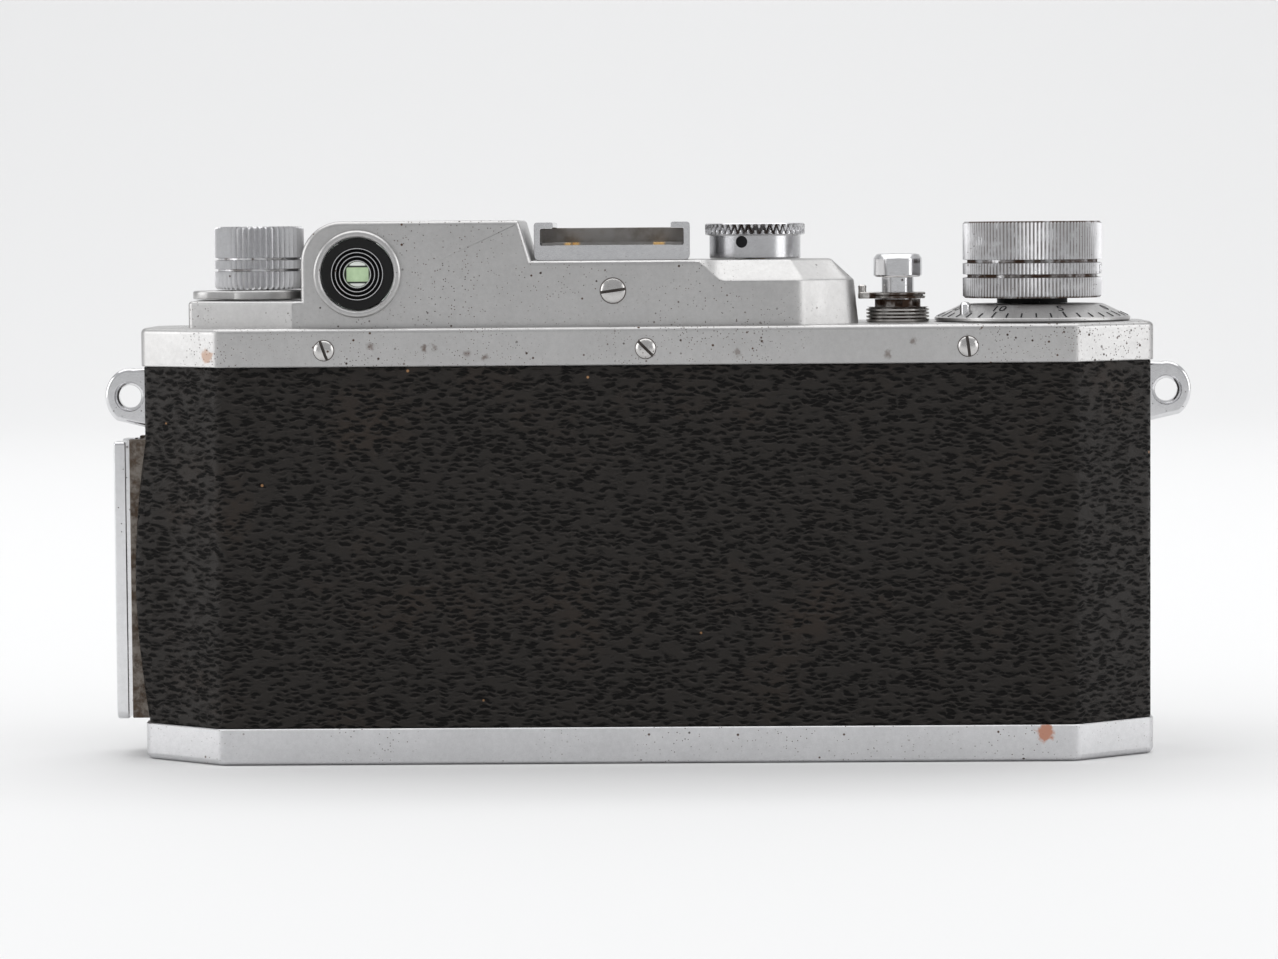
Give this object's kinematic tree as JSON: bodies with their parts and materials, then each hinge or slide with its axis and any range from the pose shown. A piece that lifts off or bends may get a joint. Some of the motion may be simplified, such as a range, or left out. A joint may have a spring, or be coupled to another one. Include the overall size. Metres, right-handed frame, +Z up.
{
  "type": "rangefinder camera",
  "caption": "Bottom-loading rangefinder camera for 35 mm film, with screw-mount lens, wind and rewind knobs, accessory shoe and a hinged-off base plate.",
  "frame": {"origin": "middle of the base plate's underside", "axes": "+X to the viewer's right, +Y forward along the lens axis, +Z up"},
  "size_m": [0.1518, 0.0549, 0.0744],
  "materials": {
    "satin_chrome": "satin chrome on brass, worn at the edges",
    "bright_chrome": "polished chrome",
    "cast_alloy": "as cast",
    "leather": "fine grained, black brown, worn at the corners",
    "black_enamel": "black enamel",
    "steel": "turned steel",
    "brass": "machined brass",
    "optical_glass": "clear, faintly green",
    "shutter_cloth": "rubberised black cloth"
  },
  "bodies": {
    "chassis": {"body_shell": "cast_alloy", "leather_covering": "leather", "top_plate": "satin_chrome", "finder_housing": "satin_chrome", "eyepiece_ring": "bright_chrome", "eyepiece_insert": "black_enamel", "eyepiece_lens": "optical_glass", "finder_window": "optical_glass", "rangefinder_window": "optical_glass", "beam_splitter": "optical_glass", "rangefinder_mirror": "optical_glass", "accessory_shoe": "bright_chrome", "shoe_spring": "brass", "top_screw_left": "bright_chrome", "top_screw_middle": "bright_chrome", "top_screw_right": "bright_chrome", "housing_screw": "bright_chrome", "strap_lug_left": "bright_chrome", "strap_lug_right": "bright_chrome", "flash_rail_base": "steel", "flash_rail": "bright_chrome", "flash_contact": "brass", "mechanism_plate": "brass", "shutter_crate": "cast_alloy", "pressure_plate": "black_enamel", "closing_curtain": "shutter_cloth", "opening_curtain": "shutter_cloth", "release_collar": "bright_chrome", "lens_mount_ring": "bright_chrome", "lens_base": "bright_chrome"},
    "wind_train": {"wind_shaft": "steel", "wind_gear": "brass", "take_up_spool": "black_enamel", "wind_knob": "satin_chrome"},
    "frame_counter": {"counter_dial": "satin_chrome", "counter_pin": "bright_chrome"},
    "sprocket": {"film_sprocket": "brass", "sprocket_gear": "brass"},
    "shutter_drum": {"curtain_drum": "brass", "drum_gear": "brass"},
    "first_roller": {"curtain_roller_1": "steel"},
    "second_roller": {"curtain_roller_2": "steel"},
    "dial_bush": {"speed_dial_bush": "brass"},
    "speed_dial_body": {"speed_dial": "satin_chrome"},
    "rewind_spindle": {"rewind_shaft": "steel"},
    "rewind_knob_body": {"rewind_knob": "bright_chrome"},
    "selector": {"selector_lever": "satin_chrome"},
    "release": {"release_button": "bright_chrome"},
    "reversing": {"reversing_lever": "bright_chrome"},
    "slow_dial": {"slow_speed_dial": "satin_chrome"},
    "base": {"base_plate": "satin_chrome", "tripod_bush": "bright_chrome"},
    "base_lock": {"lock_disc": "satin_chrome"},
    "base_key": {"lock_key": "satin_chrome"},
    "focus": {"focus_ring": "bright_chrome"},
    "focus_lock": {"infinity_button": "bright_chrome"},
    "barrel": {"lens_barrel": "bright_chrome", "front_glass": "optical_glass"},
    "aperture": {"aperture_ring": "bright_chrome"},
    "follower": {"follower_arm": "steel"}
  },
  "joints": [
    {"name": "wind_turn", "type": "hinge", "parent": "chassis", "child": "wind_train", "pos_m": [0.0538, 0, 0.065], "axis": [0, 0, -1], "continuous": true},
    {"name": "counter_turn", "type": "hinge", "parent": "chassis", "child": "frame_counter", "pos_m": [0.0538, 0, 0.061], "axis": [0, 0, -1], "continuous": true},
    {"name": "sprocket_turn", "type": "hinge", "parent": "chassis", "child": "sprocket", "pos_m": [0.03505, 0, 0.03], "axis": [0, 0, -1], "continuous": true},
    {"name": "drum_turn", "type": "hinge", "parent": "chassis", "child": "shutter_drum", "pos_m": [0.01517, 0, 0.03], "axis": [0, 0, -1], "continuous": true},
    {"name": "first_roller_turn", "type": "hinge", "parent": "chassis", "child": "first_roller", "pos_m": [-0.03012, -0.0016, 0.03], "axis": [0, 0, -1], "continuous": true},
    {"name": "second_roller_turn", "type": "hinge", "parent": "chassis", "child": "second_roller", "pos_m": [-0.03012, -0.0054, 0.03], "axis": [0, 0, -1], "continuous": true},
    {"name": "speed_setting", "type": "hinge", "parent": "shutter_drum", "child": "dial_bush", "pos_m": [0.01517, 0, 0.07], "axis": [0, 0, -1], "range_deg": [0, 300]},
    {"name": "speed_dial_lift", "type": "slide", "parent": "dial_bush", "child": "speed_dial_body", "axis": [0, 0, 1], "range_m": [0, 0.0015], "stiffness_N_per_m": 100},
    {"name": "rewind_turn", "type": "hinge", "parent": "chassis", "child": "rewind_spindle", "pos_m": [-0.0541, 0, 0.065], "axis": [0, 0, 1], "continuous": true},
    {"name": "rewind_knob_lift", "type": "slide", "parent": "rewind_spindle", "child": "rewind_knob_body", "axis": [0, 0, 1], "range_m": [0, 0.004]},
    {"name": "selector_turn", "type": "hinge", "parent": "chassis", "child": "selector", "pos_m": [-0.0541, 0, 0.064], "axis": [0, 0, -1], "range_deg": [0, 70]},
    {"name": "release_press", "type": "slide", "parent": "chassis", "child": "release", "axis": [0, 0, -1], "range_m": [0, 0.002], "stiffness_N_per_m": 300},
    {"name": "reversing_turn", "type": "hinge", "parent": "chassis", "child": "reversing", "pos_m": [0.03505, 0, 0.0636], "axis": [0, 0, -1], "range_deg": [0, 60]},
    {"name": "slow_dial_turn", "type": "hinge", "parent": "chassis", "child": "slow_dial", "pos_m": [0.02357, 0.0165, 0.03882], "axis": [0, 1, 0], "range_deg": [0, 270]},
    {"name": "base_swing", "type": "hinge", "parent": "chassis", "child": "base", "pos_m": [0.0701, 0, 0.00505], "axis": [0, -1, 0], "range_deg": [0, 60]},
    {"name": "lock_turn", "type": "hinge", "parent": "base", "child": "base_lock", "pos_m": [-0.0541, 0, 0.001], "axis": [0, 0, -1], "range_deg": [0, 180]},
    {"name": "key_fold", "type": "hinge", "parent": "base_lock", "child": "base_key", "pos_m": [-0.0541, 0, 0.00077], "axis": [-1, 0, 0], "range_deg": [0, 90]},
    {"name": "focus_turn", "type": "hinge", "parent": "chassis", "child": "focus", "pos_m": [-0.00903, 0.0264, 0.02983], "axis": [0, 1, 0], "range_deg": [0, 160]},
    {"name": "focus_lock_press", "type": "slide", "parent": "focus", "child": "focus_lock", "axis": [-0.6428, 0, 0.766], "range_m": [0, 0.001], "stiffness_N_per_m": 200},
    {"name": "barrel_run", "type": "slide", "parent": "chassis", "child": "barrel", "axis": [0, 1, 0], "range_m": [0, 0.0026]},
    {"name": "aperture_turn", "type": "hinge", "parent": "barrel", "child": "aperture", "pos_m": [-0.00903, 0.0343, 0.02983], "axis": [0, 1, 0], "range_deg": [0, 110]},
    {"name": "follower_swing", "type": "hinge", "parent": "chassis", "child": "follower", "pos_m": [0.01397, 0.01155, 0.0488], "axis": [0, 0, -1], "range_deg": [0, 6.5]}
  ],
  "couplings": [
    {"joint": "counter_turn", "follows": "wind_turn", "ratio": 0.025},
    {"joint": "sprocket_turn", "follows": "wind_turn", "ratio": -1},
    {"joint": "drum_turn", "follows": "wind_turn", "ratio": 0.89286},
    {"joint": "first_roller_turn", "follows": "wind_turn", "ratio": 2.1763},
    {"joint": "second_roller_turn", "follows": "wind_turn", "ratio": 2.1763},
    {"joint": "focus_turn", "follows": "barrel_run", "rad_per_m": 1074},
    {"joint": "follower_swing", "follows": "barrel_run", "rad_per_m": 43.5}
  ]
}
